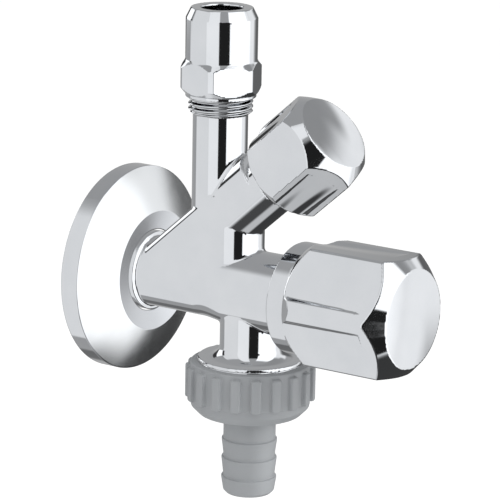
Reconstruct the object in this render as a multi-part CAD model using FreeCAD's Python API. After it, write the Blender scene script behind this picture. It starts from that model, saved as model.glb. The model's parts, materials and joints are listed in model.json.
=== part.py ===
import FreeCAD, Part
import os
import math

# Washing machine valve, in millimetres. Origin on the wall plane, on the inlet axis.
# -Y points away from the wall, +Z up. Places along the inlet axis are distances from the wall.

# clearances
threadGap = 0.05
runGap = 0.05
faceGap = 0.03

# inlet, rosette and the horizontal barrel
inletThreadR = 10.48
inletThreadLength = 13.0
inletThreadFront = 0.3
inletReliefR = 9.6
inletReliefEnd = 1.5
rosetteSeatR = 10.42
rosetteSeatEnd = 10.5
inletTubeR = 9.2
inletBoreR = 4.6
barrelR = 10.06
barrelStart = 36.0
rosetteR = 27.0
rosetteRim = 5.2
rosetteSheet = 0.9
rosetteCrestR = 15.5
rosetteCrest = 9.8
rosetteFullness = 0.85
rosetteSeatGap = 0.33
rosetteHoleAt = 11.2

# diagonal bar that carries the small headwork
diagAngle = 41.0
diagOffset = -9.6
diagR = 7.6
diagFlat = 7.4
diagTopOffset = -6.4
diagTopBack = 2.4
webTopOffset = -1.6
webEdgeR = 3.4
webStart = 9.5
diagBarStart = 33.0
neckAt = 36.0

# upper outlet with its compression joint
upperAt = 30.5
upperTubeR = 7.1
upperTubeTop = 43.9
upperBoreR = 3.6
upperThreadR = 8.33
upperThreadTop = 56.0
pipeR = 5.0
pipeSocketR = pipeR + 0.1
pipeSocketDepth = 7.0
sealConeR = 6.9

# lower outlet with its hose union
lowerAt = 41.34
lowerTubeR = 8.15
lowerBoreR = 4.6
flangeR = 13.8
flangeTop = -17.9
flangeT = 1.0
flangeFillet = 3.0
lowerThreadR = 13.22
lowerThreadEnd = -28.0

# headworks: all lengths run along the axis, away from the wall
bigWork = {
    "seat": 34.0, "seatR": 4.2, "seatLip": 1.0, "chamberR": 7.2, "mouth": 56.0,
    "threadR": 8.33, "threadLength": 10.0, "lift": 3.75, "washerR": 5.7, "washerT": 2.4,
    "screwR": 1.5, "screwHeadR": 2.8, "screwHead": 1.3, "plungerR": 6.1, "plungerFlange": 1.5,
    "plungerAcross": 8.4, "stemR": 3.0, "stemThreadR": 2.5, "collarR": 4.1, "collarT": 1.6,
    "gasketT": 0.6, "hexAcross": 18.0, "hexT": 3.2, "sleeveR": 5.2, "sleeveT": 2.0,
    "clipR": 4.6, "splineLength": 9.0,
}
smallWork = {
    "seat": 27.0, "seatR": 3.0, "seatLip": 0.8, "chamberR": 5.2, "mouth": 55.6,
    "threadR": 6.0, "threadLength": 12.0, "lift": 3.1, "washerR": 4.2, "washerT": 2.0,
    "screwR": 1.2, "screwHeadR": 2.1, "screwHead": 1.0, "plungerR": 4.5, "plungerFlange": 1.3,
    "plungerAcross": 6.4, "stemR": 2.5, "stemThreadR": 2.0, "collarR": 3.1, "collarT": 1.4,
    "gasketT": 0.5, "hexAcross": 15.0, "hexT": 2.8, "sleeveR": 4.0, "sleeveT": 1.8,
    "clipR": 3.9, "splineLength": 7.5,
}
splineTeeth = 18
splineDepth = 0.35
shoulderDepth = 2.0
clipT = 0.7
ringGrooveWidth = 1.5

# big handle: a hexagonal prism on a round collar, placed from the barrel's mouth
bigHandleLap = 0.6
bigLength = 35.0
bigCollarR = 14.4
bigCollarLength = 5.0
bigHexHalf = 15.1
bigCornerR = 17.25
bigRearCone = 3.8
bigFrontCone = 4.4
bigFaceR = 12.75
bigFaceDome = 0.5
bigTurn = 26.5
bigSkirtR = barrelR + 1.34
bigSkirtDepth = 20.6
bigBossR = 5.4
bigGrooveR = 2.4
bigGrooveDepth = 0.45
bigGrooveFromCorner = 3.1

# small handle: a smaller hexagonal prism with a domed end, placed from the bar's mouth
smallHandleGap = 2.7
smallLength = 19.9
smallHexHalf = 11.8
smallCornerR = 13.8
smallRearCone = 2.2
smallFrontCone = 4.2
smallFaceR = 10.2
smallFaceDome = 1.5
smallTurn = 53.8
smallSkirtR = 9.9
smallSkirtDepth = 11.7
smallBossR = 4.3
smallGrooveR = 1.8
smallGrooveDepth = 0.35
smallGrooveFromCorner = 2.4

# compression nut, placed from the end of the outlet thread, lengths from its lower end
nutEngaged = 7.0
nutSkirt = 1.0
nutHexLength = 8.3
nutHexAcross = 19.0
nutCornerR = 10.55
nutCollarR = upperThreadR + threadGap + 0.72
nutShoulder = 1.9
nutCylinderR = 9.25
nutCylinderLength = 9.1
nutTopChamfer = 2.7
nutTopR = 7.92
nutBoreR = pipeR + 0.35
nutTurn = 20.6

# thrust ring and seal between the nut and the outlet
sealHeight = 3.0
sealInnerR = pipeR + 0.15
ringLength = 5.0
ringOuterR = upperThreadR - 0.33
ringInnerR = pipeR + 0.2
ringConeAt = 3.1
ringSideGap = 0.15
ringConeGap = 0.07
ringSlit = 1.2

# hose tail, barbs counted from its upper face
gasketT = 2.0
gasketR = lowerThreadR - 0.22
gasketHoleR = 6.2
tailFlangeT = 1.3
tailNeckR = 6.8
tailBoreR = 4.9
tailLength = 24.54
barbStarts = [9.64, 14.64, 19.84]
barbR = 7.2
barbRootR = 6.65
barbLand = 0.6

# hose union nut
unionTopGap = 0.2
unionWall = 2.33
unionRootR = lowerThreadR + threadGap + unionWall
unionRibHeight = 1.3
unionRibInset = 1.0
unionCap = 4.0
unionCapInset = 0.2
unionFloor = 1.6
unionBottomR = 2.2
unionRibs = 19
unionRibWidth = 2.6
unionHoleR = barbR + 0.4
unionPhase = 11.7


def point(r, z):
    return FreeCAD.Vector(r, 0, z)


def revolved(profile):
    """Solid of revolution about Z from (radius, height) corners."""
    corners = [point(r, z) for r, z in profile]
    face = Part.Face(Part.makePolygon(corners + [corners[0]]))
    return face.revolve(FreeCAD.Vector(0, 0, 0), FreeCAD.Vector(0, 0, 1), 360)


def rod(r, low, high):
    return Part.makeCylinder(r, high - low, FreeCAD.Vector(0, 0, low))


def prism(corners, low, high):
    path = [FreeCAD.Vector(x, y, low) for x, y in corners]
    face = Part.Face(Part.makePolygon(path + [path[0]]))
    return face.extrude(FreeCAD.Vector(0, 0, high - low))


def regular(sides, across, turn=0.0):
    """Corners of a regular polygon from its distance across flats."""
    r = across / 2 / math.cos(math.pi / sides)
    angles = [math.radians(turn + 360.0 * k / sides) for k in range(sides)]
    return [(r * math.cos(a), r * math.sin(a)) for a in angles]


def spline(r, depth):
    """Corners of the fluted outline that the handles push on to."""
    corners = []
    for k in range(2 * splineTeeth):
        a = math.pi * k / splineTeeth
        radius = r if k % 2 == 0 else r - depth
        corners.append((radius * math.cos(a), radius * math.sin(a)))
    return corners


def alongInlet(shape):
    """Local Z becomes -Y, away from the wall, and local X stays up."""
    out = shape.copy()
    out.Placement = FreeCAD.Placement(FreeCAD.Matrix(
        0, -1, 0, 0,
        0, 0, -1, 0,
        1, 0, 0, 0,
        0, 0, 0, 1))
    return out


def diagPoint(u, m):
    """Distance from the wall and height of a point given along and above the diagonal."""
    a = math.radians(diagAngle)
    return u * math.cos(a) - m * math.sin(a), u * math.sin(a) + m * math.cos(a)


def alongDiagonal(shape, offset=diagOffset):
    """Local Z runs up and away along the diagonal, and local X points to its upper side."""
    a = math.radians(diagAngle)
    s, z = diagPoint(0, offset)
    out = shape.copy()
    out.Placement = FreeCAD.Placement(FreeCAD.Matrix(
        0, -1, 0, 0,
        math.sin(a), 0, -math.cos(a), -s,
        math.cos(a), 0, math.sin(a), z,
        0, 0, 0, 1))
    return out


def upright(shape, at):
    out = shape.copy()
    out.translate(FreeCAD.Vector(0, -at, 0))
    return out


def inletOuter():
    return alongInlet(revolved([
        (0, -inletThreadLength), (inletThreadR - 0.9, -inletThreadLength),
        (inletThreadR, -inletThreadLength + 0.9), (inletThreadR, inletThreadFront),
        (inletReliefR, inletThreadFront), (inletReliefR, inletReliefEnd), (rosetteSeatR, inletReliefEnd),
        (rosetteSeatR, rosetteSeatEnd), (inletTubeR, rosetteSeatEnd + 0.3),
        (inletTubeR, barrelStart - 0.8), (barrelR, barrelStart), (barrelR, bigWork["mouth"] - 0.5),
        (barrelR - 0.5, bigWork["mouth"]), (0, bigWork["mouth"])]))


def webHeight(s):
    a = math.radians(diagAngle)
    return (webTopOffset + s * math.sin(a)) / math.cos(a)


def webOuter():
    """Flat-sided wedge between the inlet, the upper tube and the diagonal bar."""
    outline = [(webStart, 0), (webStart, webHeight(webStart)), (upperAt, webHeight(upperAt)),
               (neckAt, webHeight(upperAt)), (neckAt, 0)]
    path = [FreeCAD.Vector(-diagFlat, -s, z) for s, z in outline]
    wedge = Part.Face(Part.makePolygon(path + [path[0]])).extrude(FreeCAD.Vector(2 * diagFlat, 0, 0))
    top = [e for e in wedge.Edges if onWebTop(e)]
    return wedge.makeFillet(webEdgeR, top)


def onWebTop(edge):
    ends = [v.Point for v in edge.Vertexes]
    sloping = abs(ends[0].y - ends[1].y) > 1 and abs(ends[0].z - ends[1].z) > 1
    return sloping and abs(ends[0].x - ends[1].x) < 0.1


def neckOuter():
    neck = rod(diagFlat, 0, webHeight(upperAt))
    return upright(neck, neckAt)


def barOuter():
    """Bar with flat flanks, round below and above, that carries the small headwork."""
    low = diagBarStart
    high = smallWork["mouth"]
    rise = diagTopOffset - diagOffset
    width = 2 * diagFlat
    limit = Part.makeBox(4 * diagR, width, high - low, FreeCAD.Vector(-2 * diagR, -diagFlat, low))
    lower = rod(diagR, low, high).common(limit)
    length = high - diagTopBack - low
    upper = Part.makeCylinder(diagFlat, length, FreeCAD.Vector(rise, 0, low))
    flank = Part.makeBox(rise, width, length, FreeCAD.Vector(0, -diagFlat, low))
    return alongDiagonal(lower.fuse([upper, flank]))


def upperOuter():
    return upright(revolved([
        (0, 8), (upperTubeR, 8), (upperTubeR, upperTubeTop), (upperThreadR - 0.9, upperTubeTop),
        (upperThreadR, upperTubeTop + 0.5), (upperThreadR, upperThreadTop - 0.8),
        (upperThreadR - 0.8, upperThreadTop), (0, upperThreadTop)]), upperAt)


def lowerOuter():
    steps = 8
    blend = []
    for k in range(steps + 1):
        a = math.pi / 2 * k / steps
        blend.append((lowerTubeR + flangeFillet * (1 - math.cos(a)),
                      flangeTop + flangeFillet * (1 - math.sin(a))))
    return upright(revolved([(0, 0), (lowerTubeR, 0)] + blend + [
        (flangeR - 0.3, flangeTop), (flangeR, flangeTop - 0.3), (flangeR, flangeTop - flangeT),
        (lowerThreadR, flangeTop - flangeT), (lowerThreadR, lowerThreadEnd + 0.8),
        (lowerThreadR - 0.8, lowerThreadEnd), (0, lowerThreadEnd)]), lowerAt)


def workCavity(w, passage):
    """Seat, chamber and threaded mouth of one headwork, along local Z."""
    floor = w["seat"] - w["seatLip"]
    cavity = rod(w["chamberR"], floor, w["mouth"] - w["threadLength"] + 0.5)
    lip = rod(w["seatR"] + 1.0, floor, w["seat"])
    mouth = rod(w["threadR"], w["mouth"] - w["threadLength"], w["mouth"] + 1)
    return cavity.cut(lip).fuse([mouth, rod(w["seatR"], passage, w["seat"] + 0.1)])


def valveBody():
    body = inletOuter().fuse([webOuter(), neckOuter(), barOuter(), upperOuter(), lowerOuter()])
    inletBore = alongInlet(rod(inletBoreR, -inletThreadLength - 1, bigWork["seat"] - 3))
    diagStart = -diagOffset / math.tan(math.radians(diagAngle))
    upperBore = rod(upperBoreR, diagPoint(smallWork["seat"] + 4, diagOffset)[1], upperThreadTop)
    socketLow = upperThreadTop - pipeSocketDepth
    cone = sealConeR - pipeSocketR
    socket = revolved([
        (0, socketLow), (pipeSocketR, socketLow), (pipeSocketR, upperThreadTop - cone),
        (sealConeR + 1, upperThreadTop + 1), (0, upperThreadTop + 1)])
    lowerBore = rod(lowerBoreR, lowerThreadEnd - 1, 0)
    body = body.cut([
        inletBore, alongInlet(workCavity(bigWork, bigWork["seat"] - 4)),
        alongDiagonal(workCavity(smallWork, diagStart)),
        upright(upperBore, upperAt), upright(socket, upperAt), upright(lowerBore, lowerAt)])
    return body.removeSplitter()


def rosette():
    """Pressed wall cover: a straight rim, a dome and an inner cone to its hole."""
    steps = 10
    dome = []
    for k in range(1, steps + 1):
        a = math.pi / 2 * k / steps
        r = rosetteCrestR + (rosetteR - rosetteCrestR) * max(math.cos(a), 0) ** rosetteFullness
        s = rosetteRim + (rosetteCrest - rosetteRim) * math.sin(a) ** rosetteFullness
        dome.append((r, s))
    hole = rosetteSeatR + rosetteSeatGap
    outer = [(rosetteR, 0), (rosetteR, rosetteRim)] + dome
    outer += [(hole + 0.3, rosetteHoleAt), (hole, rosetteHoleAt - 0.3)]
    inner = [(hole, rosetteHoleAt - rosetteSheet), (rosetteCrestR, rosetteCrest - rosetteSheet)]
    for r, s in reversed(dome[:-1]):
        inner.append((r - rosetteSheet, s - rosetteSheet * 0.6))
    inner += [(rosetteR - rosetteSheet, rosetteRim), (rosetteR - rosetteSheet, 0)]
    return alongInlet(revolved(outer + inner))


def levels(w):
    """Heights shared by the pieces of one headwork."""
    top = {"shoulder": w["mouth"] - shoulderDepth, "bottom": w["mouth"] - w["threadLength"]}
    top["washerLow"] = w["seat"] + faceGap
    top["washerHigh"] = top["washerLow"] + w["washerT"]
    top["flangeHigh"] = top["washerHigh"] + faceGap + w["plungerFlange"]
    top["collarHigh"] = top["shoulder"] - faceGap
    top["collarLow"] = top["collarHigh"] - w["collarT"]
    top["plungerHigh"] = top["collarLow"] - w["lift"] - 0.4
    top["holeLow"] = top["flangeHigh"] + 1.5
    top["stemLow"] = top["holeLow"] + w["lift"] + 0.3
    top["gasketHigh"] = w["mouth"] + faceGap + w["gasketT"]
    top["hexLow"] = top["gasketHigh"] + faceGap
    top["hexHigh"] = top["hexLow"] + w["hexT"]
    top["sleeveHigh"] = top["hexHigh"] + w["sleeveT"]
    top["clipLow"] = top["sleeveHigh"] + 0.05
    top["splineLow"] = top["clipLow"] + clipT + 0.8
    return top


def bonnet(w):
    lv = levels(w)
    outer = rod(w["threadR"] - threadGap, lv["bottom"], lv["hexLow"] + 0.5)
    flange = prism(regular(6, w["hexAcross"]), lv["hexLow"], lv["hexHigh"])
    corner = w["hexAcross"] / 2 / math.cos(math.pi / 6)
    rounding = revolved([
        (0, lv["hexLow"]), (corner, lv["hexLow"]), (corner, lv["hexHigh"] - 0.8),
        (corner - 1.4, lv["hexHigh"]), (0, lv["hexHigh"])])
    sleeve = rod(w["sleeveR"], lv["hexHigh"] - 0.5, lv["sleeveHigh"])
    guide = prism(regular(6, w["plungerAcross"] + 2 * runGap), lv["bottom"] - 1, lv["shoulder"])
    bore = rod(w["stemR"] + runGap, lv["bottom"] - 1, lv["sleeveHigh"] + 1)
    return outer.fuse([flange.common(rounding), sleeve]).cut([guide, bore]).removeSplitter()


def bonnetGasket(w):
    lv = levels(w)
    low = w["mouth"] + faceGap
    outerR = min(w["hexAcross"] / 2, w["threadR"] + 1.6)
    return rod(outerR, low, lv["gasketHigh"]).cut(rod(w["threadR"] + 0.02, low - 1, lv["gasketHigh"] + 1))


def ringSize(w):
    """Centre radius and section radius of the sealing ring in its groove."""
    bottom = w["stemR"] - 1.0
    section = (w["stemR"] + runGap - bottom) / 2 - 0.02
    return bottom + 0.01 + section, section


def ringHeight(w):
    return levels(w)["hexLow"] + w["hexT"] * 0.5


def spindle(w):
    lv = levels(w)
    middle = ringHeight(w)
    groove = w["stemR"] - 1.0
    clipR = w["stemR"] - 0.6
    r = w["stemR"]
    shaft = revolved([
        (0, lv["stemLow"]), (w["stemThreadR"] - 0.4, lv["stemLow"]), (w["stemThreadR"], lv["stemLow"] + 0.4),
        (w["stemThreadR"], lv["collarLow"]), (w["collarR"], lv["collarLow"]),
        (w["collarR"], lv["collarHigh"]), (r, lv["collarHigh"]),
        (r, middle - ringGrooveWidth / 2), (groove, middle - ringGrooveWidth / 2),
        (groove, middle + ringGrooveWidth / 2), (r, middle + ringGrooveWidth / 2),
        (r, lv["clipLow"] - 0.02), (clipR, lv["clipLow"] - 0.02),
        (clipR, lv["clipLow"] + clipT + 0.02), (r, lv["clipLow"] + clipT + 0.02),
        (r, lv["splineLow"]), (0, lv["splineLow"])])
    end = prism(spline(r, splineDepth), lv["splineLow"], lv["splineLow"] + w["splineLength"])
    return shaft.fuse(end).removeSplitter()


def spindleRing(w):
    centre, section = ringSize(w)
    return Part.makeTorus(centre, section, FreeCAD.Vector(0, 0, ringHeight(w)))


def clip(w):
    """Open retaining ring on the spindle, outside the bonnet."""
    lv = levels(w)
    inner = w["stemR"] - 0.6 + 0.02
    ring = rod(w["clipR"], lv["clipLow"], lv["clipLow"] + clipT)
    ring = ring.cut(rod(inner, lv["clipLow"] - 1, lv["clipLow"] + 2))
    half = 0.8 * inner
    mouth = Part.makeBox(w["clipR"] + 1, 2 * half, 3, FreeCAD.Vector(0, -half, lv["clipLow"] - 1))
    return ring.cut(mouth)


def plunger(w):
    lv = levels(w)
    low = lv["washerHigh"] + faceGap
    flange = rod(w["plungerR"], low, lv["flangeHigh"])
    stem = prism(regular(6, w["plungerAcross"]), lv["flangeHigh"] - 0.2, lv["plungerHigh"])
    hole = rod(w["stemThreadR"] + threadGap, lv["holeLow"], lv["plungerHigh"] + 1)
    screwHole = rod(w["screwR"] + 0.02, low - 1, lv["holeLow"] - 0.4)
    return flange.fuse(stem).cut([hole, screwHole]).removeSplitter()


def washer(w):
    lv = levels(w)
    return rod(w["washerR"], lv["washerLow"], lv["washerHigh"]).cut(
        rod(w["screwR"] + 0.02, lv["washerLow"] - 1, lv["washerHigh"] + 1))


def washerScrew(w):
    lv = levels(w)
    head = rod(w["screwHeadR"], lv["washerLow"] - faceGap - w["screwHead"], lv["washerLow"] - faceGap)
    shank = rod(w["screwR"], lv["washerLow"] - faceGap - 0.1, lv["holeLow"] - 0.6)
    slotBox = Part.makeBox(2 * w["screwHeadR"] + 1, 0.6, 0.5, FreeCAD.Vector(
        -w["screwHeadR"] - 0.5, -0.3, lv["washerLow"] - faceGap - w["screwHead"]))
    return head.fuse(shank).cut(slotBox).removeSplitter()


def domed(radius, rise, height):
    """Spherical cap that gives a face its slight bulge."""
    ball = (radius ** 2 + rise ** 2) / (2 * rise)
    sphere = Part.makeSphere(ball, FreeCAD.Vector(0, 0, height + rise - ball))
    return sphere.common(rod(radius, height - 0.2, height + rise + 1))


def cornerGrooves(turn, half, cornerR, radius, depth, fromCorner, low, high):
    """Hollows on both sides of each corner, deepest at the wall end and run out at the front."""
    along = math.sqrt(cornerR ** 2 - half ** 2) - fromCorner
    cuts = []
    for k in range(6):
        for side in (-1, 1):
            start = FreeCAD.Vector(half + radius - depth, side * along, low)
            end = FreeCAD.Vector(half + radius + 0.03, side * along, high)
            cut = Part.makeCylinder(radius, (end - start).Length, start, end - start)
            cut.rotate(FreeCAD.Vector(0, 0, 0), FreeCAD.Vector(0, 0, 1), turn + 30 + 60 * k)
            cuts.append(cut)
    return cuts


def handleHole(w, roof):
    """Fluted hole that pushes on to the spindle."""
    lv = levels(w)
    return prism(spline(w["stemR"] + 0.03, splineDepth), lv["splineLow"] - 1, roof)


def bigHandle():
    lv = levels(bigWork)
    base = bigWork["mouth"] - bigHandleLap
    collarEnd = base + bigCollarLength
    front = base + bigLength
    coneStart = front - bigFrontCone
    envelope = revolved([
        (0, base), (bigCollarR - 0.6, base), (bigCollarR, base + 0.6),
        (bigCollarR, collarEnd), (bigCornerR, collarEnd + bigRearCone),
        (bigCornerR, coneStart), (bigFaceR, front), (0, front)])
    hexagon = prism(regular(6, 2 * bigHexHalf, bigTurn), collarEnd, front)
    collar = rod(bigCollarR, base, collarEnd)
    outer = envelope.common(hexagon.fuse(collar))
    outer = outer.cut(cornerGrooves(
        bigTurn, bigHexHalf, bigCornerR, bigGrooveR, bigGrooveDepth, bigGrooveFromCorner,
        collarEnd + 0.5, coneStart))
    outer = outer.fuse(domed(bigFaceR, bigFaceDome, front))
    roof = lv["splineLow"] + bigWork["splineLength"] + 0.3
    skirt = rod(bigSkirtR, base - 1, base + bigSkirtDepth)
    boss = rod(bigBossR, lv["splineLow"] + 0.1, base + bigSkirtDepth + 1)
    return outer.cut(skirt.cut(boss)).cut(handleHole(bigWork, roof)).removeSplitter()


def smallHandle():
    lv = levels(smallWork)
    base = smallWork["mouth"] + smallHandleGap
    front = base + smallLength
    coneStart = front - smallFrontCone
    envelope = revolved([
        (0, base), (smallHexHalf, base), (smallCornerR, base + smallRearCone),
        (smallCornerR, coneStart), (smallFaceR, front), (0, front)])
    hexagon = prism(regular(6, 2 * smallHexHalf, smallTurn), base, front)
    outer = envelope.common(hexagon)
    outer = outer.cut(cornerGrooves(
        smallTurn, smallHexHalf, smallCornerR, smallGrooveR, smallGrooveDepth, smallGrooveFromCorner,
        base - 0.5, coneStart))
    outer = outer.fuse(domed(smallFaceR, smallFaceDome, front))
    roof = lv["splineLow"] + smallWork["splineLength"] + 0.3
    skirt = rod(smallSkirtR, base - 1, base + smallSkirtDepth)
    boss = rod(smallBossR, lv["splineLow"] + 0.1, base + smallSkirtDepth + 1)
    return outer.cut(skirt.cut(boss)).cut(handleHole(smallWork, roof)).removeSplitter()


def ringLow():
    return upperThreadTop + sealHeight


def nutConeSum():
    """Radius plus height along the inner 45 degree cone of the compression nut."""
    return ringOuterR + ringSideGap + ringLow() + ringConeAt


def compressionNut():
    cone = nutConeSum()
    low = upperThreadTop - nutEngaged
    hexLow = low + nutSkirt
    hexHigh = hexLow + nutHexLength
    cylinderLow = hexHigh + nutShoulder
    chamferLow = cylinderLow + nutCylinderLength
    top = chamferLow + nutTopChamfer
    outer = revolved([
        (0, low), (nutCollarR, low), (nutCollarR, hexLow), (nutCornerR - 0.9, hexLow),
        (nutCornerR, hexLow + 0.55), (nutCornerR, hexHigh - 0.55), (nutCornerR - 0.9, hexHigh),
        (nutCylinderR, cylinderLow), (nutCylinderR, chamferLow), (nutTopR, top), (0, top)])
    hexagon = prism(regular(6, nutHexAcross, nutTurn), hexLow, hexHigh)
    plain = rod(nutCornerR + 1, hexLow, hexHigh).cut(hexagon)
    threadR = upperThreadR + threadGap
    ringR = ringOuterR + ringSideGap
    hollow = revolved([
        (0, low - 1), (threadR, low - 1), (threadR, ringLow() - sealHeight / 2),
        (ringR, ringLow() - sealHeight / 2), (ringR, cone - ringR),
        (nutBoreR, cone - nutBoreR), (nutBoreR, top + 1), (0, top + 1)])
    return upright(outer.cut(plain).cut(hollow).removeSplitter(), upperAt)


def thrustRing():
    """Slit brass ring that the nut squeezes onto the pipe."""
    cone = nutConeSum() - ringConeGap
    low = ringLow()
    high = low + ringLength
    ring = revolved([
        (ringInnerR, low), (ringOuterR, low), (ringOuterR, cone - ringOuterR),
        (cone - high, high), (ringInnerR, high)])
    slit = Part.makeBox(ringOuterR + 1, ringSlit, ringLength + 2, FreeCAD.Vector(
        0, -ringSlit / 2, low - 1))
    return upright(ring.cut(slit), upperAt)


def outletSeal():
    coneLow = upperThreadTop - (sealConeR - pipeSocketR)
    seat = upperThreadTop + faceGap + 0.05
    return upright(revolved([
        (sealInnerR, coneLow + 0.35), (sealInnerR + 0.2, coneLow + 0.27),
        (sealConeR + 0.05, seat), (ringOuterR, seat),
        (ringOuterR, ringLow() - faceGap), (sealInnerR, ringLow() - faceGap)]), upperAt)


def unionRib(angle, low, high):
    rib = Part.makeBox(unionRibHeight + 2, unionRibWidth, high - low,
                       FreeCAD.Vector(unionRootR - 1, -unionRibWidth / 2, low))
    rib.rotate(FreeCAD.Vector(0, 0, 0), FreeCAD.Vector(0, 0, 1), angle)
    return rib


def tailTop():
    return lowerThreadEnd - gasketT - 2 * faceGap


def unionNut():
    top = flangeTop - flangeT - unionTopGap
    shoulder = tailTop() - tailFlangeT - faceGap
    low = shoulder - unionFloor
    ribTop = top - unionRibInset
    ribLow = low + unionCap
    ribR = unionRootR + unionRibHeight
    capR = unionRootR - unionCapInset
    core = revolved([
        (0, top), (unionRootR - 0.5, top), (unionRootR, top - 0.5),
        (unionRootR, ribLow), (capR, ribLow - 0.2), (capR, low + unionBottomR),
        (capR - 0.3 * unionBottomR, low + 0.3 * unionBottomR),
        (capR - unionBottomR, low), (0, low)])
    envelope = revolved([
        (0, top), (unionRootR, top), (ribR - 0.8, ribTop), (ribR, ribTop - 1.0),
        (ribR, ribLow + 0.6), (ribR - 0.6, ribLow), (0, ribLow)])
    angles = [unionPhase + 360.0 * k / unionRibs for k in range(unionRibs)]
    nut = core.fuse([unionRib(angle, ribLow, ribTop).common(envelope) for angle in angles])
    threadR = lowerThreadR + threadGap
    hollow = revolved([
        (0, top + 1), (threadR, top + 1), (threadR, shoulder), (unionHoleR, shoulder),
        (unionHoleR, low - 1), (0, low - 1)])
    return upright(nut.cut(hollow).removeSplitter(), lowerAt)


def hoseGasket():
    high = lowerThreadEnd - faceGap
    ring = rod(gasketR, high - gasketT, high).cut(rod(gasketHoleR, high - gasketT - 1, high + 1))
    return upright(ring, lowerAt)


def hoseTail():
    top = tailTop()
    end = top - tailLength
    profile = [(tailBoreR, top), (gasketR, top), (gasketR, top - tailFlangeT),
               (tailNeckR, top - tailFlangeT)]
    highs = [top - start for start in barbStarts]
    lows = highs[1:] + [end + 0.8]
    previous = tailNeckR
    for high, low in zip(highs, lows):
        profile += [(previous, high), (barbR, high - 0.15), (barbR, high - barbLand), (barbRootR, low)]
        previous = barbRootR
    profile += [(barbRootR - 0.25, end + 0.25), (barbRootR - 0.8, end), (tailBoreR, end)]
    return upright(revolved(profile), lowerAt)


def headwork(name, w, place):
    pieces = {
        "bonnet": bonnet(w), "bonnet_gasket": bonnetGasket(w), "spindle": spindle(w),
        "spindle_ring": spindleRing(w), "clip": clip(w), "plunger": plunger(w),
        "washer": washer(w), "washer_screw": washerScrew(w)}
    return {name + "_" + key: place(shape) for key, shape in pieces.items()}


nodes = {"valve_body": valveBody(), "wall_rosette": rosette()}
nodes.update(headwork("big", bigWork, alongInlet))
nodes.update(headwork("small", smallWork, alongDiagonal))
nodes["big_handle"] = alongInlet(bigHandle())
nodes["small_handle"] = alongDiagonal(smallHandle())
nodes["compression_nut"] = compressionNut()
nodes["thrust_ring"] = thrustRing()
nodes["outlet_seal"] = outletSeal()
nodes["union_nut"] = unionNut()
nodes["hose_gasket"] = hoseGasket()
nodes["hose_tail"] = hoseTail()

os.makedirs("parts", exist_ok=True)
for name, shape in nodes.items():
    solid = shape.Solids[0]
    print(name, "solids", len(shape.Solids), "valid", solid.isValid(), "volume", round(solid.Volume, 1))
    solid.exportStep("parts/" + name + ".step")
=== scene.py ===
import json
import math

import bpy
import numpy as np
from mathutils import Matrix, Vector

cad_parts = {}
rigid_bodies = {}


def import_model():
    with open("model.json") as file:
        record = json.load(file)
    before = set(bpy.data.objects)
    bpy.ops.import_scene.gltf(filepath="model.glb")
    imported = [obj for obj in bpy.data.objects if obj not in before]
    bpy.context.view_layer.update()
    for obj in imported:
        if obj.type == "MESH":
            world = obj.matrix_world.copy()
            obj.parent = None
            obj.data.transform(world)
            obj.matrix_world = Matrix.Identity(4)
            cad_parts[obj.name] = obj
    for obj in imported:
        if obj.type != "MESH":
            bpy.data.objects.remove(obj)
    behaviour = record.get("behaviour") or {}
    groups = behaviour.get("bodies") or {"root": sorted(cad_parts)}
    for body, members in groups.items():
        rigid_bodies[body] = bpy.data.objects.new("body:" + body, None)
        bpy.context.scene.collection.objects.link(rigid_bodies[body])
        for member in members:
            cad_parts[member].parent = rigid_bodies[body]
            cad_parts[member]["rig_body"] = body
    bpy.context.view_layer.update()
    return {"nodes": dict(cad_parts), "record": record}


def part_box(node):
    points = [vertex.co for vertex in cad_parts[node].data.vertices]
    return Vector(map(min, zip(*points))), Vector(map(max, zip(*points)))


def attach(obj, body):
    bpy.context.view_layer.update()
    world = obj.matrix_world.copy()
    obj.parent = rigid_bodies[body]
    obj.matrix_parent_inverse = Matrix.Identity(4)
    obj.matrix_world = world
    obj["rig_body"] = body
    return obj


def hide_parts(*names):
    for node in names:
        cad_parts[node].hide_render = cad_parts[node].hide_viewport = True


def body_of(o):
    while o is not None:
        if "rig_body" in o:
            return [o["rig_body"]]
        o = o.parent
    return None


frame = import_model()

# every shape below is worked out in millimetres in the frame of the part, and turned to metres at the end
mm = 0.001


# colours and materials

def linear(code):
    parts = [int(code[k:k + 2], 16) / 255 for k in (1, 3, 5)]
    return [c / 12.92 if c <= 0.04045 else ((c + 0.055) / 1.055) ** 2.4 for c in parts] + [1.0]


def addNode(tree, kind, links=None, **settings):
    # each input gets a plain value or the socket that feeds it
    node = tree.nodes.new("ShaderNode" + kind)
    for key, value in settings.items():
        setattr(node, key, value)
    for key, value in (links or {}).items():
        if isinstance(value, bpy.types.NodeSocket):
            tree.links.new(value, node.inputs[key])
        else:
            node.inputs[key].default_value = value
    return node


def newMaterial(name, **shaderValues):
    material = bpy.data.materials.new(name)
    material.use_nodes = True
    tree = material.node_tree
    shader = tree.nodes["Principled BSDF"]
    for key, value in shaderValues.items():
        shader.inputs[key.replace("_", " ")].default_value = value
    return material, tree, shader


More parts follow.
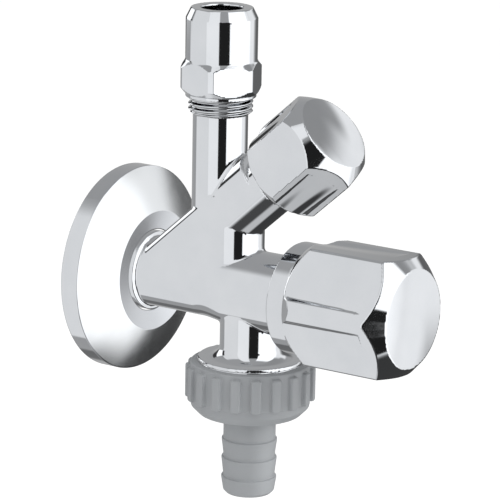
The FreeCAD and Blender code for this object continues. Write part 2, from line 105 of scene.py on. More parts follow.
def patterned(name, look, **shaderValues):
    # tone blends the two colours, wear drives the roughness, relief lifts the surface by its height;
    # each pattern is the size of its lumps in millimetres and its detail
    material, tree, shader = newMaterial(name, **shaderValues)
    place = addNode(tree, "TexCoord").outputs["Object"]
    tone, wear, relief = [
        addNode(tree, "TexNoise", {"Vector": place, "Scale": 1 / (size * mm), "Detail": detail}).outputs[0]
        for size, detail in (look["tone"], look["wear"], look["relief"])]
    if "rings" in look:  # the wave node turns through 20 radians in one unit
        relief = addNode(tree, "TexWave", {"Vector": place, "Scale": 2 * math.pi / (20 * look["rings"] * mm),
                                           "Distortion": 0.4, "Detail": 1.0},
                         bands_direction="Z", wave_profile="SIN").outputs["Fac"]
    colour = addNode(tree, "Mix", {0: tone, 6: linear(look["colours"][0]), 7: linear(look["colours"][1])},
                     data_type="RGBA")
    rough = addNode(tree, "MapRange", {"Value": wear, "From Min": 0.3, "From Max": 0.7,
                                       "To Min": look["rough"][0], "To Max": look["rough"][1]})
    tree.links.new(colour.outputs[2], shader.inputs["Base Color"])
    tree.links.new(rough.outputs["Result"], shader.inputs["Roughness"])
    if look["height"]:
        bump = addNode(tree, "Bump", {"Height": relief, "Distance": look["height"] * mm, "Strength": 1.0})
        tree.links.new(bump.outputs["Normal"], shader.inputs["Normal"])
    return material


# bright chrome plate over cast brass: nearly a mirror, a little grey, with the faint haze that handling
# leaves, over a casting that is never quite flat
castLook = {"colours": ("#d2d4d7", "#c6c9cd"), "rough": (0.035, 0.075), "tone": (9.0, 4.0),
            "wear": (3.0, 5.0), "relief": (7.0, 1.0), "height": 0.004}
# over pressed sheet: the same mirror with longer, lower waves
pressedLook = {**castLook, "relief": (12.0, 1.0), "height": 0.003}
# over spun sheet: a satin that blurs what it mirrors, paler on the dome than in the dish; the dish's darker
# colour is painted shade that stands in for the reflection of the tube in it
domeLook = {**pressedLook, "colours": ("#d6d8da", "#cdd0d3"), "rough": (0.21, 0.25)}
dishPaintedShadeLook = {**domeLook, "colours": ("#c3c5c9", "#b6b9bd"), "height": 0.0}
# over turned brass: fine marks of the lathe, drawn 0.6 mm apart so that they show
turnedLook = {**castLook, "rings": 0.592, "height": 0.0006}
# CZ121 brass bar, turned: warm yellow metal with fine tool marks and some dull oxide
brassLook = {"colours": ("#d9b36a", "#b98f49"), "rough": (0.22, 0.38), "tone": (2.5, 5.0),
             "wear": (2.5, 5.0), "relief": (0.4, 2.0), "height": 0.004}
# bright rolled spring steel: grey satin with a rolled grain
steelLook = {"colours": ("#a3a5a8", "#7f8286"), "rough": (0.25, 0.42), "tone": (0.6, 6.0),
             "wear": (0.6, 6.0), "relief": (0.6, 6.0), "height": 0.002}
# moulded nitrile: deep black with a soft bloom
rubberLook = {"colours": ("#1a1a1b", "#2a2a2b"), "rough": (0.5, 0.7), "tone": (1.2, 4.0),
              "wear": (1.2, 4.0), "relief": (0.25, 2.0), "height": 0.006}
# pressed cotton fibre: red brown, matt, with short hairs running all ways
fibreLook = {"colours": ("#7c2c22", "#a04a36"), "rough": (0.7, 0.9), "tone": (0.5, 8.0),
             "wear": (0.5, 8.0), "relief": (0.5, 8.0), "height": 0.02}
# moulded glass-filled polyamide: mid grey satin, a spark-eroded grain and faint flow streaks
polyamideLook = {"colours": ("#989b9e", "#a2a5a8"), "rough": (0.42, 0.58), "tone": (11.0, 3.0),
                 "wear": (0.35, 2.0), "relief": (0.35, 2.0), "height": 0.012}

castChrome = patterned("chrome_on_cast_brass", castLook, Metallic=1.0)
pressedChrome = patterned("chrome_on_pressed_sheet", pressedLook, Metallic=1.0)
satinDome = patterned("chrome_on_spun_dome", domeLook, Metallic=1.0)
# the dish material carries painted shade: its darker colour stands in for the tube's reflection
satinDishPaintedShade = patterned("chrome_on_spun_dish_painted_shade", dishPaintedShadeLook, Metallic=1.0)
turnedChrome = patterned("chrome_on_turned_brass", turnedLook, Metallic=1.0)
slotMaterials = {
    "brass": patterned("brass_turned", brassLook, Metallic=1.0),
    "steel": patterned("spring_steel_bright", steelLook, Metallic=1.0),
    "rubber": patterned("nitrile_rubber_moulded", rubberLook, IOR=1.52),
    "fibre": patterned("vulcanised_fibre_pressed", fibreLook, IOR=1.5),
    "grey_plastic": patterned("polyamide_grey_moulded", polyamideLook, IOR=1.53),
    "chrome": castChrome,
}
print("materials made:", len(bpy.data.materials))


# distance fields: negative inside the metal, in millimetres

probe = 0.01  # each field is read at a point and this far along X, Y and Z, which gives its slope
past = 2.0  # how far a cut or a joined piece runs past the face that it meets
thin = 0.1  # edges and overlaps too small to show
meshing = {"rounds": 4, "leastSlope": 0.05}  # how often points are drawn on to a surface, and how far


def probed(points):
    offsets = np.concatenate([np.zeros((1, 3)), probe * np.eye(3)])
    return [points[..., k] + offsets[:, k].reshape((4,) + (1,) * (points.ndim - 1)) for k in range(3)]


def slopeOf(value):
    return (value[1:] - value[:1]) / probe


def eased(share):
    share = np.clip(share, 0, 1)
    return share * share * (3 - 2 * share)


def joined(a, b, fillet):
    # union with a round fillet, smaller where the surfaces meet at a flat angle
    slopeA, slopeB = slopeOf(a), slopeOf(b)
    size = np.sqrt((slopeA ** 2).sum(0) * (slopeB ** 2).sum(0)) + 1e-9
    halfTurn = np.sqrt(np.clip(0.5 + 0.5 * (slopeA * slopeB).sum(0) / size, 0.1, 1))
    fillet = fillet * np.clip((1 / halfTurn - 1) / (math.sqrt(2) - 1), 0.01, 1)
    return (np.maximum(fillet, np.minimum(a, b))
            - np.hypot(np.maximum(fillet - a, 0), np.maximum(fillet - b, 0)))


def cropped(a, b, edge):
    # intersection with a rounded edge
    return -joined(-a, -b, edge)


def carved(a, b, edge):
    return cropped(a, -b, edge)


def between(z, low, high):
    return np.abs(z - (low + high) / 2) - (high - low) / 2


def turned(r, z, profile, edge):
    # convex turned form from (radius, height) corners, going up the outside
    field = None
    for (r0, z0), (r1, z1) in zip(profile[:-1], profile[1:]):
        length = math.hypot(r1 - r0, z1 - z0)
        side = ((z1 - z0) * (r - r0) - (r1 - r0) * (z - z0)) / length
        field = side if field is None else cropped(field, side, edge)
    return field


def rod(r, z, radius, low, high, edge):
    return cropped(r - radius, between(z, low, high), edge)


def cellCorner(grid, i, j, k):
    # one corner of every cell of a grid
    return grid[i:grid.shape[0] - 1 + i, j:grid.shape[1] - 1 + j, k:grid.shape[2] - 1 + k]


def surfaceOf(field, low, high, pitch):
    # a quad mesh of the field's zero surface, drawn on to it, with the field's own normals
    lines = [np.arange(a - 2 * pitch, b + 3 * pitch, pitch) for a, b in zip(low, high)]
    sheet = np.stack(np.meshgrid([0], lines[1], lines[2], indexing="ij"), -1)[0]
    value = np.stack([field(*probed(sheet + (x, 0, 0)))[0] for x in lines[0]])
    inside = value < 0
    count = sum(cellCorner(inside, i, j, k).astype(int) for i in (0, 1) for j in (0, 1) for k in (0, 1))
    cells = np.argwhere((count > 0) & (count < 8))
    index = np.full(count.shape, -1)
    index[tuple(cells.T)] = np.arange(len(cells))
    total, hits = np.zeros((len(cells), 3)), np.zeros(len(cells))
    steps = np.eye(3, dtype=int)
    for axis in range(3):
        for j in (0, 1):
            for k in (0, 1):
                start = j * steps[(axis + 1) % 3] + k * steps[(axis + 2) % 3]
                a = value[tuple((cells + start).T)]
                b = value[tuple((cells + start + steps[axis]).T)]
                crossed = (a < 0) != (b < 0)
                share = np.where(crossed, a / np.where(crossed, a - b, 1), 0)
                total += crossed[:, None] * (start + share[:, None] * steps[axis])
                hits += crossed
    points = np.array([line[0] for line in lines]) + (cells + total / hits[:, None]) * pitch
    quads = []
    for axis in range(3):
        one, two, three = steps[axis], steps[(axis + 1) % 3], steps[(axis + 2) % 3]
        edges = np.argwhere(cellCorner(inside, 0, 0, 0) != cellCorner(inside, *one))
        around = [index[tuple((edges - move).T)] for move in (two + three, three, 0 * two, two)]
        around = np.stack(around, 1)
        out = inside[tuple(edges.T)]
        quads.append(np.where(out[:, None], around, around[:, ::-1]))
    for _ in range(meshing["rounds"]):
        value = field(*probed(points))
        slope = slopeOf(value).T
        step = value[0][:, None] * slope / np.maximum((slope ** 2).sum(1), meshing["leastSlope"])[:, None]
        points = points - np.clip(step, -pitch / 2, pitch / 2)
    slope = slopeOf(field(*probed(points))).T
    return points, np.concatenate(quads), slope / np.linalg.norm(slope, axis=1)[:, None]


# lathe work: closed outlines spun about an axis

def softened(corners, radius, steps=5):
    # rounds each sharp corner of a closed outline and leaves the nearly straight ones
    straight, arcShare, lead, leadShare = math.radians(165), 0.42, 1.25, 0.48
    outline = []
    corners = [np.array(c, float) for k, c in enumerate(corners)
               if np.hypot(*np.subtract(c, corners[k - 1])) > 1e-6]
    for k, corner in enumerate(corners):
        before, after = corners[k - 1] - corner, corners[(k + 1) % len(corners)] - corner
        lengthIn, lengthOut = np.linalg.norm(before), np.linalg.norm(after)
        before, after = before / lengthIn, after / lengthOut
        opening = math.acos(max(-1, min(1, float(before @ after))))
        if opening > straight:
            outline.append(corner)
            continue
        reach = min(radius / math.tan(opening / 2), arcShare * lengthIn, arcShare * lengthOut)
        arc = reach * math.tan(opening / 2)
        middle = corner + (before + after) / np.linalg.norm(before + after) * arc / math.sin(opening / 2)
        first, last = corner + before * reach - middle, corner + after * reach - middle
        spread = math.pi - opening
        outline.append(corner + before * min(reach * lead, leadShare * lengthIn))
        for j in range(steps + 1):
            t = j / steps
            outline.append(middle + (first * math.sin((1 - t) * spread) + last * math.sin(t * spread))
                           / math.sin(spread))
        outline.append(corner + after * min(reach * lead, leadShare * lengthOut))
    return np.array(outline)


def ringQuads(rows, segments):
    index = np.arange(rows * segments).reshape(rows, segments)
    ahead = np.roll(index, -1, 1)
    return np.stack([index, ahead, np.roll(ahead, -1, 0), np.roll(index, -1, 0)], 2).reshape(-1, 4)


def spun(outline, segments):
    # outline runs anticlockwise in (radius, height); returns points and quads
    a = np.arange(segments) / segments * 2 * math.pi
    r, z = outline[:, 0][:, None], outline[:, 1][:, None]
    points = np.stack([r * np.cos(a), r * np.sin(a), z + 0 * a], 2)
    return points.reshape(-1, 3), ringQuads(len(outline), segments)


def linked(name, data):
    thing = bpy.data.objects.new(name, data)
    bpy.context.scene.collection.objects.link(thing)
    return thing


def addPiece(name, points, faces, material, node, normals=None, replaced=(), mirrored=False):
    mesh = bpy.data.meshes.new(name)
    mesh.from_pydata((np.asarray(points) * mm).tolist(), [], np.asarray(faces).tolist())
    mesh.polygons.foreach_set("use_smooth", [True] * len(mesh.polygons))
    if normals is not None:
        mesh.normals_split_custom_set_from_vertices(normals.tolist())
    mesh.materials.append(material)
    piece = linked(name, mesh)
    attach(piece, body_of(frame["nodes"][node])[0])
    if replaced:
        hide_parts(*replaced)
    piece.visible_glossy = mirrored  # most chromed pieces show no mirror image of each other
    print(name, len(points), "points")
    return piece


# the axes: the inlet runs out from the wall along -Y, the diagonal one leans up from it by its angle and
# starts below it by its shift, and the two upright ones stand this far from the wall

axes = {"diagonal": 41.0, "diagonalShift": -9.6, "upperAt": 30.5, "lowerAt": 41.34}
tilt = math.radians(axes["diagonal"])


def inletPlace(x, y, z):
    return z, -x, -y


def diagonalPlace(x, y, z):
    across = z * math.cos(tilt) + y * math.sin(tilt) - axes["diagonalShift"]
    return across, -x, z * math.sin(tilt) - y * math.cos(tilt)


def standUpright(at):
    return lambda p: np.stack([p[:, 0], p[:, 1] - at, p[:, 2]], 1)


def layAlongInlet(p):
    return np.stack([-p[:, 1], -p[:, 2], p[:, 0]], 1)


# cast body: inlet tube, barrel, web, neck, slanted bar, outlet above and hose outlet below
# R stands for a radius and T for a thickness; low and high are the corners of the space that is meshed

body = {
    "reliefR": 9.6, "reliefFrom": -11.5, "seatR": 10.42, "seatFrom": 1.5, "seatTo": 10.6, "seatEdge": 0.4,
    "tubeR": 9.2, "tubeFrom": 4.0, "barrelR": 10.06, "flareFrom": 28.0, "flareTo": 37.0, "mouth": 56.0,
    "flat": 7.4, "barR": 7.6, "barRise": 3.2, "barFrom": 33.0, "barTop": 53.2, "barEnd": 55.6,
    "barEdge": 0.6, "collarEdge": 0.45, "collarFillet": 0.4,
    "webShift": -1.6, "webEdge": 3.4, "webFrom": 9.5, "neckAt": 36.0, "neckFrom": -2.0, "neckEdge": 0.5,
    "upperR": 7.1, "upperFrom": 8.0, "upperTop": 43.9, "outletFrom": 44.7, "outletTop": 56.0,
    "outletCoreR": 7.45, "lowerR": 8.15, "flangeR": 13.8, "flangeTop": -17.9, "flangeT": 1.0,
    "flangeFillet": 3.0, "hoseCoreR": 12.06, "hoseEnd": -28.0, "fillet": 1.3, "tubeFillet": 0.5,
    "outletFillet": 0.2, "edge": 0.3, "low": (-14, -57, -28.4), "high": (14, 12, 56.4), "pitch": 0.5,
}
# the waterways along each axis, and the lip of the inlet's seat: radius, from, to, edge
bores = {
    "inlet": [(4.6, -16.0, 31.0, thin), (7.2, 33.0, 46.5, 0.3), (8.4, 46.0, 60.0, thin)],
    "diagonal": [(3.0, 11.0, 28.0, thin), (5.2, 26.2, 44.0, 0.3), (6.05, 43.6, 60.0, thin)],
    "upper": [(3.6, 17.0, 52.0, thin), (5.1, 49.0, 60.0, thin)],
    "lower": [(4.6, -32.0, 2.0, thin)],
}
boreEdge = 0.25
seatLip = {"outer": (5.2, 32.5, 34.0, thin), "inner": (4.2, 30.0, 36.0, thin)}


def webField(x, s, z):
    # the sloping web with its rounded top, and the neck that ends it
    b = body
    top = z * math.cos(tilt) - b["webShift"] - s * math.sin(tilt)
    ceiling = (b["webShift"] + axes["upperAt"] * math.sin(tilt)) / math.cos(tilt)
    wedge = cropped(top, np.abs(x) - b["flat"], b["webEdge"])
    wedge = np.maximum(wedge, np.maximum(s - b["neckAt"], np.maximum(b["webFrom"] - s, -z)))
    wedge = cropped(wedge, z - ceiling, b["neckEdge"])
    neck = rod(np.hypot(x, s - b["neckAt"]), z, b["flat"], b["neckFrom"], ceiling, b["neckEdge"])
    return np.minimum(wedge, neck)


def barField(across, side, along):
    # the bar has flat flanks, a rounder underside and a round collar at its mouth
    b = body
    off = across - np.clip(across, 0, b["barRise"])
    rounder = (b["barR"] - b["flat"]) * np.clip(-off / b["barR"], 0, 1)
    bar = cropped(np.hypot(off, side) - b["flat"] - rounder, between(along, b["barFrom"], b["barTop"]),
                  b["barEdge"])
    collar = rod(np.hypot(across, side), along, b["barR"], b["barFrom"], b["barEnd"], b["collarEdge"])
    collar = cropped(collar, np.abs(side) - b["flat"], b["collarFillet"])
    return joined(bar, collar, b["collarFillet"])


def bodyOuter(x, y, z):
    b = body
    s, r = -y, np.hypot(x, z)
    inlet = rod(r, s, b["reliefR"], b["reliefFrom"], b["tubeFrom"], b["edge"])
    inlet = joined(inlet, rod(r, s, b["seatR"], b["seatFrom"], b["seatTo"], b["seatEdge"]), thin)
    swell = (b["barrelR"] - b["tubeR"]) * eased((s - b["flareFrom"]) / (b["flareTo"] - b["flareFrom"]))
    tube = rod(r - swell, s, b["tubeR"], b["tubeFrom"], b["mouth"], b["barEdge"])
    inlet = joined(inlet, tube, b["tubeFillet"])
    rise = np.hypot(x, s - axes["upperAt"])
    upper = rod(rise, z, b["upperR"], b["upperFrom"], b["upperTop"] + past, b["edge"])
    core = rod(rise, z, b["outletCoreR"], b["outletFrom"], b["outletTop"] - thin, b["edge"])
    upper = joined(upper, core, b["outletFillet"])
    drop = np.hypot(x, s - axes["lowerAt"])
    lower = rod(drop, z, b["lowerR"], b["flangeTop"] - b["flangeT"], 0.0, b["edge"])
    flange = rod(drop, z, b["flangeR"], b["flangeTop"] - b["flangeT"], b["flangeTop"], b["edge"])
    lower = joined(lower, flange, b["flangeFillet"])
    lower = np.minimum(lower, rod(drop, z, b["hoseCoreR"], b["hoseEnd"] + thin,
                                  b["flangeTop"] - b["edge"], b["edge"]))
    cast = joined(webField(x, s, z), barField(*diagonalPlace(x, y, z)), b["fillet"])
    for part in (upper, inlet, lower):
        cast = joined(cast, part, b["fillet"])
    return cast


def bodyField(x, y, z):
    s, r = -y, np.hypot(x, z)
    across, side, along = diagonalPlace(x, y, z)
    ways = {"inlet": (r, s), "diagonal": (np.hypot(across, side), along),
            "upper": (np.hypot(x, s - axes["upperAt"]), z), "lower": (np.hypot(x, s - axes["lowerAt"]), z)}
    field = bodyOuter(x, y, z)
    for way, (radius, height) in ways.items():
        for bore in bores[way]:
            field = carved(field, rod(radius, height, *bore), boreEdge)
    lip = carved(rod(r, s, *seatLip["outer"]), rod(r, s, *seatLip["inner"]), thin)
    return np.minimum(field, lip)


points, faces, normals = surfaceOf(bodyField, body["low"], body["high"], body["pitch"])
addPiece("valve_body_cast", points, faces, castChrome, "valve_body", normals, ["valve_body"])


# pipe threads: 55 degree form with rounded crests, cut as one helix and chamfered at the free end

threadForm = {"depth": 0.64, "crest": 0.8, "chamferFrom": 1.1, "runOut": 1.2, "rows": 12, "segments": 160}
threads = {
    # G 3/8, G 3/4 and G 1/2, over a hollow ring that the casting fills
    "outlet_thread": {"radius": 8.33, "pitch": 1.337, "inner": 6.2, "freeTop": True,
                      "low": body["outletFrom"], "high": body["outletTop"]},
    "hose_thread": {"radius": 13.22, "pitch": 1.814, "inner": 8.0, "freeTop": False,
                    "low": body["hoseEnd"], "high": body["flangeTop"] - body["flangeT"] - 0.02},
    "inlet_thread": {"radius": 10.48, "pitch": 1.814, "inner": 5.5, "freeTop": False,
                     "low": -13.0, "high": 0.3},
}


def addThread(name, place):
    t, form = threads[name], threadForm
    depth = form["depth"] * t["pitch"]
    rowStep = t["pitch"] / form["rows"]
    rows = np.arange(t["low"], t["high"] + rowStep / 2, rowStep)
    angles = np.arange(form["segments"]) / form["segments"] * 2 * math.pi
    z, a = np.meshgrid(rows, angles, indexing="ij")
    wave = (0.5 + 0.5 * np.cos(2 * math.pi * z / t["pitch"] - a)) ** form["crest"]
    fromLow, fromHigh = z - t["low"], t["high"] - z
    fromFree, fromRoot = (fromHigh, fromLow) if t["freeTop"] else (fromLow, fromHigh)
    r = t["radius"] - depth * (1 - wave)
    r = np.minimum(r, t["radius"] - form["chamferFrom"] * depth + fromFree)
    r = np.minimum(r, t["radius"] - depth + form["runOut"] * fromRoot)
    r = np.concatenate([[t["inner"] + 0 * angles], r, [t["inner"] + 0 * angles]])
    z = np.concatenate([z[:1], z, z[-1:]])
    points = np.stack([r * np.cos(angles), r * np.sin(angles), z], 2)
    addPiece(name, place(points.reshape(-1, 3)), ringQuads(len(z), form["segments"]), turnedChrome,
             "valve_body")


addThread("outlet_thread", standUpright(axes["upperAt"]))
addThread("hose_thread", standUpright(axes["lowerAt"]))
addThread("inlet_thread", layAlongInlet)


# pressed wall rosette: straight rim, full dome and a shallow dish that falls to the tube

rosette = {
    "radius": 27.0, "rim": 5.2, "sheet": 0.9, "crestR": 15.8, "crest": 10.6, "lean": 0.8, "rimBand": 0.25,
    "holeR": 10.75, "holeAt": 9.8, "edge": 0.35, "segments": 320, "curve": 36,
}


def domePoints(t, drop):
    # from the crest at 0 to the rim at 1
    c = rosette
    height = c["crest"] - (c["crest"] - c["rim"]) * t * (c["lean"] + (1 - c["lean"]) * t)
    return np.stack([c["crestR"] + (c["radius"] - c["crestR"]) * t, height - drop], 1).tolist()


def rosetteOutline():
    c = rosette
    width, fall = c["radius"] - c["crestR"], c["crest"] - c["rim"]
    t = np.linspace(0, 1 - c["sheet"] / width, c["curve"])
    slope = fall / width * (c["lean"] + 2 * (1 - c["lean"]) * t)
    outline = [(c["radius"], 0)] + domePoints(np.linspace(1, 0, c["curve"]), 0)
    outline += [(c["holeR"], c["holeAt"]), (c["holeR"], c["holeAt"] - c["sheet"])]
    outline += domePoints(t, c["sheet"] * np.hypot(1, slope)) + [(c["radius"] - c["sheet"], 0)]
    return softened(outline, c["edge"])


outline = rosetteOutline()
points, faces = spun(outline, rosette["segments"])
cover = addPiece("rosette_pressed", layAlongInlet(points), faces, pressedChrome, "wall_rosette",
                 replaced=["wall_rosette"])
cover.data.materials.append(satinDome)
cover.data.materials.append(satinDishPaintedShade)
# rim band, dome and dish take materials 0, 1 and 2; the dish's darker material is painted shade for the
# tube's reflection
zone = np.where(outline[:, 0] > rosette["crestR"], 1, 2)
zone = np.where(outline[:, 0] > rosette["radius"] - rosette["rimBand"], 0, zone)
cover.data.polygons.foreach_set("material_index", np.repeat(zone, rosette["segments"]))


# the two six-sided handles, with steps beside some ridges that run out towards the front
# stepAt is a step's distance from the middle of its flat, wall its steep side and run its fading side;
# steps holds, for every second flat and then for the ones between, the sides and their depths

bigHandle = {
    "base": 55.4, "length": 35.0, "collarR": 14.4, "collar": 5.0, "half": 15.1, "cornerR": 17.25,
    "rearCone": 3.8, "rearR": 14.4, "frontCone": 4.4, "faceR": 12.75, "bulge": 0.5, "turn": 26.5,
    "hollowR": 11.4, "hollow": 20.6, "bossR": 5.4, "bossFrom": 63.5, "holeR": 3.03, "holeTo": 74.5,
    "stepAt": 5.9, "step": 0.65, "wall": 1.5, "run": 5.5, "steps": (((1, 1.0),), ((-1, 1.5),)),
    "edge": 1.0, "faceEdge": 0.55, "ridge": 1.6, "pitch": 0.4,
}
smallHandle = {
    "base": 58.3, "length": 19.9, "collarR": 0.0, "collar": 0.0, "half": 11.8, "cornerR": 13.8,
    "rearCone": 2.2, "rearR": 11.8, "frontCone": 4.2, "faceR": 10.2, "bulge": 1.1, "turn": 53.8,
    "hollowR": 9.9, "hollow": 11.7, "bossR": 4.3, "bossFrom": 62.0, "holeR": 2.53, "holeTo": 70.0,
    "stepAt": 5.2, "step": 0.5, "wall": 1.3, "run": 3.4, "steps": ((), ((-1, 1.0), (1, 1.0))),
    "edge": 1.0, "faceEdge": 0.5, "ridge": 1.4, "pitch": 0.34,
}
bothHandles = {"stepEnd": 1.5, "fade": 0.5, "leastWall": 0.25, "footEdge": 0.4, "collarEdge": 0.5,
               "hollowEdge": 0.3, "holeEdge": 0.2}


def stepsOf(h, across, odd, share):
    # each step is steep on the ridge side, and narrows and runs out to the front
    form = bothHandles
    narrowing = np.clip(share, 0, 1) ** form["fade"]
    depth, wall = h["step"] * narrowing, h["wall"] * (form["leastWall"] + (1 - form["leastWall"]) * narrowing)
    sunk = np.zeros_like(across)
    for parity, sides in enumerate(h["steps"]):
        for side, scale in sides:
            inward = (h["stepAt"] - across * side) / scale
            ramp = eased(inward / wall) * eased(1 + (wall - inward) / h["run"])
            sunk = sunk + np.where(odd == bool(parity), depth * scale * ramp, 0)
    return sunk


def handleField(h, place):
    form = bothHandles
    front, collarEnd = h["base"] + h["length"], h["base"] + h["collar"]
    coneStart, hollowEnd = front - h["frontCone"], h["base"] + h["hollow"]
    ball = (h["faceR"] ** 2 + h["bulge"] ** 2) / (2 * h["bulge"])

    def field(x, y, z):
        a, b, c = place(x, y, z)
        r, heading = np.hypot(a, b), np.degrees(np.arctan2(b, a)) - h["turn"]
        sector = np.radians(heading % 60 - 30)
        odd = np.floor(heading / 60) % 2 > 0.5
        share = (coneStart - form["stepEnd"] - c) / (coneStart - collarEnd)
        sunk = stepsOf(h, r * np.sin(sector), odd, share)
        shape = cropped(r * np.cos(sector) - h["half"] + sunk, r - h["cornerR"], h["ridge"])
        rear = turned(r, c, [(h["rearR"], collarEnd), (h["cornerR"], collarEnd + h["rearCone"])], 0)
        nose = turned(r, c, [(h["cornerR"], coneStart), (h["faceR"], front)], 0)
        shape = cropped(cropped(shape, rear, h["edge"]), nose, h["edge"])
        face = np.hypot(r, c - (front + h["bulge"] - ball)) - ball
        shape = cropped(cropped(shape, face, h["faceEdge"]), h["base"] - c, form["footEdge"])
        if h["collarR"]:
            collar = rod(r, c, h["collarR"], h["base"], collarEnd + past, form["collarEdge"])
            shape = joined(shape, collar, form["collarEdge"])
        skirt = rod(r, c, h["hollowR"], h["base"] - past, hollowEnd, form["footEdge"])
        boss = rod(r, c, h["bossR"], h["bossFrom"], hollowEnd + past, form["hollowEdge"])
        shape = carved(shape, np.maximum(skirt, -boss), form["hollowEdge"])
        return carved(shape, rod(r, c, h["holeR"], h["base"] - past, h["holeTo"], thin), form["holeEdge"])
    return field


def reachOf(node):
    low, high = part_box(node)
    return [v / mm for v in low], [v / mm for v in high]


for name, h, place in (("big_handle", bigHandle, inletPlace), ("small_handle", smallHandle, diagonalPlace)):
    points, faces, normals = surfaceOf(handleField(h, place), *reachOf(name), h["pitch"])
    addPiece(name + "_cast", points, faces, castChrome, name, normals, [name])


# compression nut: hexagon with chamfered corners below, plain cylinder above

nut = {
    "low": 49.0, "collarR": 9.1, "hexLow": 50.0, "hexHigh": 58.3, "half": 9.5, "cornerR": 10.55,
    "cylinderR": 9.25, "chamferLow": 69.3, "topR": 7.92, "top": 72.0, "sleeveEdge": 0.35, "fillet": 0.9,
    "chamfer": 1.2, "chamferRise": 1.2, "overlap": 1.0, "edge": 0.25, "fineEdge": 0.2, "turn": 20.6,
    "threadR": 8.38, "threadTo": 64.2, "boreR": 5.35, "mouthEdge": 0.45, "pitch": 0.3,
}


def nutField(x, y, z):
    n = nut
    y = y + axes["upperAt"]
    r = np.hypot(x, y)
    sector = np.radians((np.degrees(np.arctan2(y, x)) - n["turn"]) % 60 - 30)
    innerR, rise = n["cornerR"] - n["chamfer"], n["chamfer"] * n["chamferRise"]
    crown = np.maximum(
        turned(r, z, [(innerR, n["hexLow"]), (n["cornerR"], n["hexLow"] + rise)], 0),
        turned(r, z, [(n["cornerR"], n["hexHigh"] - rise), (innerR, n["hexHigh"])], 0))
    block = cropped(r * np.cos(sector) - n["half"], r - n["cornerR"], n["edge"])
    block = cropped(block, between(z, n["hexLow"], n["hexHigh"]), n["edge"])
    block = cropped(block, crown, n["fineEdge"])
    foot = n["hexHigh"] - past
    sleeve = turned(r, z, [(0, foot), (n["cylinderR"], foot), (n["cylinderR"], n["chamferLow"]),
                           (n["topR"], n["top"]), (0, n["top"])], n["sleeveEdge"])
    outer = joined(block, sleeve, n["fillet"])
    collar = rod(r, z, n["collarR"], n["low"], n["hexLow"] + n["overlap"], n["edge"])
    outer = joined(outer, collar, n["fineEdge"])
    outer = carved(outer, rod(r, z, n["threadR"], n["low"] - past, n["threadTo"], n["fineEdge"]),
                   n["fineEdge"])
    return carved(outer, rod(r, z, n["boreR"], n["low"], n["top"] + past, thin), n["mouthEdge"])


points, faces, normals = surfaceOf(nutField, *reachOf("compression_nut"), nut["pitch"])
addPiece("compression_nut_turned", points, faces, turnedChrome, "compression_nut", normals,
         ["compression_nut"], mirrored=True)


# hose union nut, moulded with grip ribs

union = {
    "top": -19.1, "low": -32.99, "rootR": 15.6, "ribHeight": 1.3, "ribTop": -20.1, "ribLow": -28.99,
    "capR": 15.4, "bottomR": 2.2, "floorTop": -31.39, "ribs": 19, "ribWidth": 2.6, "phase": 11.7,
    "overlap": 1.0, "threadR": 13.27, "holeR": 7.6, "coreEdge": 0.45, "capEdge": 1.0, "ribEdge": 0.7,
    "ribCrown": 0.55, "fillet": 0.3, "fineEdge": 0.2, "pitch": 0.36,
}


def unionField(x, y, z):
    u = union
    y = y + axes["lowerAt"]
    r = np.hypot(x, y)
    core = rod(r, z, u["rootR"], u["ribLow"] - thin, u["top"], u["coreEdge"])
    shoulder = u["ribLow"] + u["overlap"]
    cap = turned(r, z, [(0, u["low"]), (u["capR"] - u["bottomR"], u["low"]),
                        (u["capR"], u["low"] + u["bottomR"]), (u["capR"], shoulder), (0, shoulder)],
                 u["capEdge"])
    core = joined(core, cap, u["fineEdge"])
    step = 2 * math.pi / u["ribs"]
    angle = (np.arctan2(y, x) - math.radians(u["phase"]) + step / 2) % step - step / 2
    across = np.abs(r * np.sin(angle)) - u["ribWidth"] / 2
    rib = cropped(across, between(z, u["ribLow"], u["ribTop"]), u["ribEdge"])
    rib = cropped(rib, r - u["rootR"] - u["ribHeight"], u["ribCrown"])
    outer = joined(core, np.maximum(rib, u["rootR"] - u["overlap"] - r), u["fillet"])
    outer = carved(outer, rod(r, z, u["threadR"], u["floorTop"], u["top"] + past, u["fineEdge"]), u["fillet"])
    return carved(outer, rod(r, z, u["holeR"], u["low"] - past, u["top"], thin), u["fillet"])


points, faces, normals = surfaceOf(unionField, *reachOf("union_nut"), union["pitch"])
addPiece("union_nut_moulded", points, faces, slotMaterials["grey_plastic"], "union_nut", normals,
         ["union_nut"])


# hose tail with three barbs

tail = {
    "top": -30.06, "length": 24.54, "flangeR": 13.0, "flangeT": 1.3, "neckR": 6.8, "boreR": 4.9,
    "barbs": [9.64, 14.64, 19.84], "barbR": 7.2, "rootR": 6.65, "rise": 0.15, "land": 0.6, "nose": 0.8,
    "edge": 0.3, "segments": 160,
}


def tailOutline():
    t = tail
    end = t["top"] - t["length"]
    flangeLow = t["top"] - t["flangeT"]
    outline = [(t["boreR"], t["top"]), (t["flangeR"], t["top"]), (t["flangeR"], flangeLow),
               (t["neckR"], flangeLow)]
    highs = [t["top"] - start for start in t["barbs"]]
    before = t["neckR"]
    for high, low in zip(highs, highs[1:] + [end + t["nose"]]):
        outline += [(before, high), (t["barbR"], high - t["rise"]), (t["barbR"], high - t["land"]),
                    (t["rootR"], low)]
        before = t["rootR"]
    outline += [(t["rootR"] - t["nose"], end), (t["boreR"], end)]
    return softened(outline[::-1], t["edge"], 4)


points, faces = spun(tailOutline(), tail["segments"])
addPiece("hose_tail_moulded", standUpright(axes["lowerAt"])(points), faces, slotMaterials["grey_plastic"],
         "hose_tail", replaced=["hose_tail"])


# the pieces whose CAD shape is the real shape keep it and get their material

